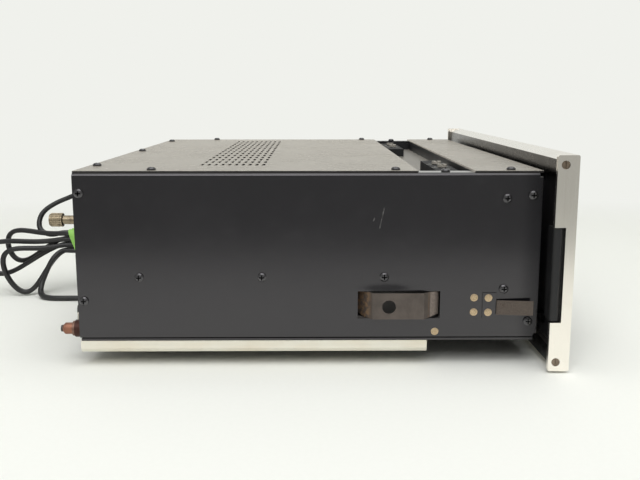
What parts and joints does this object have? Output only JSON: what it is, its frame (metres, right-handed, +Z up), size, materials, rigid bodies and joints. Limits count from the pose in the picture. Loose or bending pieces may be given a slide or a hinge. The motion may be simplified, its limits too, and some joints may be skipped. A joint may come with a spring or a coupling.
{
  "type": "stereo preamplifier",
  "caption": "Slide-in stereo preamplifier: black chassis with vented cover, aluminium-framed glass front with knobs and buttons, side stop catches, guide rails and a tied mains lead.",
  "frame": {"origin": "floor under the middle of the unit's box, taken without the mains lead", "axes": "+Z up, front panel faces -Y, the unit's left side is -X"},
  "size_m": [0.4064, 0.4756, 0.1395],
  "materials": {
    "black_paint": "satin black paint",
    "inner_steel": "plated steel",
    "aluminium": "satin brushed",
    "glass": "black glass",
    "brass": "dull brass",
    "spring": "bronzed spring steel",
    "cream": "cream nylon",
    "black_plastic": "black plastic",
    "rubber": "black rubber",
    "copper": "tarnished copper plating",
    "nickel": "aged nickel",
    "tie": "green plastic",
    "board": "laminate",
    "phenolic": "phenolic",
    "grey_plastic": "grey plastic"
  },
  "bodies": {
    "chassis": {"left_side_panel": "black_paint", "right_side_panel": "black_paint", "bottom_plate": "black_paint", "rear_panel": "black_paint", "front_subpanel": "inner_steel", "top_cover": "black_paint", "top_front_strip": "black_paint", "trim_tray": "black_paint", "trim_blocks": "black_plastic", "trim_pots": "phenolic", "feet": "rubber", "guide_rails": "cream", "case_screws": "black_paint", "brass_fasteners": "brass", "spring_plates": "black_paint", "catch_brackets": "inner_steel", "top_trim": "aluminium", "bottom_trim": "aluminium", "left_end_cap": "aluminium", "right_end_cap": "aluminium", "front_glass": "glass", "panel_backplate": "black_paint", "end_cap_screws": "spring", "lock_bars": "black_plastic", "control_pots": "inner_steel", "selector_switches": "phenolic", "button_bank": "black_plastic", "phones_jack": "nickel", "phono_jacks": "copper", "ground_post": "nickel", "strain_relief": "rubber", "cord_lead": "rubber", "cord_hank": "rubber", "cord_tail": "rubber", "mains_plug": "black_plastic", "cord_tie": "tie", "power_transformer": "inner_steel", "main_board": "board", "filter_capacitors": "inner_steel"},
    "input_knob": {"input_knob": "aluminium"},
    "mode_knob": {"mode_knob": "aluminium"},
    "bass_knob": {"bass_knob": "aluminium"},
    "treble_knob": {"treble_knob": "aluminium"},
    "balance_knob": {"balance_knob": "aluminium"},
    "volume_knob": {"volume_knob": "aluminium"},
    "power_button": {"power_button": "aluminium"},
    "monitor_button": {"monitor_button": "aluminium"},
    "loudness_button": {"loudness_button": "aluminium"},
    "filter_button": {"filter_button": "aluminium"},
    "left_lock_button": {"left_lock_button": "aluminium"},
    "right_lock_button": {"right_lock_button": "aluminium"},
    "left_stop_catch": {"left_stop_catch": "spring"},
    "right_stop_catch": {"right_stop_catch": "spring"},
    "left_side_spring": {"left_side_spring": "spring"},
    "right_side_spring": {"right_side_spring": "spring"},
    "ground_nut": {"ground_nut": "nickel"},
    "left_bass_trim": {"left_bass_trim": "grey_plastic"},
    "left_level_trim": {"left_level_trim": "grey_plastic"},
    "right_level_trim": {"right_level_trim": "grey_plastic"},
    "right_bass_trim": {"right_bass_trim": "grey_plastic"}
  },
  "joints": [
    {"name": "input_turn", "type": "hinge", "parent": "chassis", "child": "input_knob", "pos_m": [-0.112, -0.159, 0.084], "axis": [0, 1, 0], "range_deg": [-75, 75]},
    {"name": "mode_turn", "type": "hinge", "parent": "chassis", "child": "mode_knob", "pos_m": [-0.054, -0.159, 0.084], "axis": [0, 1, 0], "range_deg": [-60, 60]},
    {"name": "bass_turn", "type": "hinge", "parent": "chassis", "child": "bass_knob", "pos_m": [-0.018, -0.159, 0.084], "axis": [0, 1, 0], "range_deg": [-150, 150]},
    {"name": "treble_turn", "type": "hinge", "parent": "chassis", "child": "treble_knob", "pos_m": [0.018, -0.159, 0.084], "axis": [0, 1, 0], "range_deg": [-150, 150]},
    {"name": "balance_turn", "type": "hinge", "parent": "chassis", "child": "balance_knob", "pos_m": [0.054, -0.159, 0.084], "axis": [0, 1, 0], "range_deg": [-150, 150]},
    {"name": "volume_turn", "type": "hinge", "parent": "chassis", "child": "volume_knob", "pos_m": [0.112, -0.159, 0.084], "axis": [0, 1, 0], "range_deg": [-150, 150]},
    {"name": "power_press", "type": "slide", "parent": "chassis", "child": "power_button", "axis": [0, 1, 0], "range_m": [0, 0.0035], "stiffness_N_per_m": 300},
    {"name": "monitor_press", "type": "slide", "parent": "chassis", "child": "monitor_button", "axis": [0, 1, 0], "range_m": [0, 0.0035], "stiffness_N_per_m": 300},
    {"name": "loudness_press", "type": "slide", "parent": "chassis", "child": "loudness_button", "axis": [0, 1, 0], "range_m": [0, 0.0035], "stiffness_N_per_m": 300},
    {"name": "filter_press", "type": "slide", "parent": "chassis", "child": "filter_button", "axis": [0, 1, 0], "range_m": [0, 0.0035], "stiffness_N_per_m": 300},
    {"name": "left_lock_press", "type": "slide", "parent": "chassis", "child": "left_lock_button", "axis": [0, 1, 0], "range_m": [0, 0.003], "stiffness_N_per_m": 300},
    {"name": "right_lock_press", "type": "slide", "parent": "chassis", "child": "right_lock_button", "axis": [0, 1, 0], "range_m": [0, 0.003], "stiffness_N_per_m": 300},
    {"name": "left_catch_press", "type": "hinge", "parent": "chassis", "child": "left_stop_catch", "pos_m": [-0.1785, -0.0215, 0.0415], "axis": [0, 0, 1], "range_deg": [0, 8], "stiffness_Nm_per_rad": 0.6},
    {"name": "left_spring_press", "type": "hinge", "parent": "chassis", "child": "left_side_spring", "pos_m": [-0.1891, -0.1148, 0.04], "axis": [0, 0, 1], "range_deg": [0, 6], "stiffness_Nm_per_rad": 0.1},
    {"name": "right_catch_press", "type": "hinge", "parent": "chassis", "child": "right_stop_catch", "pos_m": [0.1785, -0.0215, 0.0415], "axis": [0, 0, -1], "range_deg": [0, 8], "stiffness_Nm_per_rad": 0.6},
    {"name": "right_spring_press", "type": "hinge", "parent": "chassis", "child": "right_side_spring", "pos_m": [0.1891, -0.1148, 0.04], "axis": [0, 0, -1], "range_deg": [0, 6], "stiffness_Nm_per_rad": 0.1},
    {"name": "ground_nut_turn", "type": "hinge", "parent": "chassis", "child": "ground_nut", "pos_m": [-0.1695, 0.172, 0.0949], "axis": [0, 1, 0], "continuous": true},
    {"name": "left_bass_trim_turn", "type": "hinge", "parent": "chassis", "child": "left_bass_trim", "pos_m": [-0.1285, -0.0865, 0.1225], "axis": [0, 0, 1], "range_deg": [-135, 135]},
    {"name": "left_level_trim_turn", "type": "hinge", "parent": "chassis", "child": "left_level_trim", "pos_m": [-0.1025, -0.0865, 0.1225], "axis": [0, 0, 1], "range_deg": [-135, 135]},
    {"name": "right_level_trim_turn", "type": "hinge", "parent": "chassis", "child": "right_level_trim", "pos_m": [0.1025, -0.0745, 0.1225], "axis": [0, 0, 1], "range_deg": [-135, 135]},
    {"name": "right_bass_trim_turn", "type": "hinge", "parent": "chassis", "child": "right_bass_trim", "pos_m": [0.1285, -0.0745, 0.1225], "axis": [0, 0, 1], "range_deg": [-135, 135]}
  ]
}
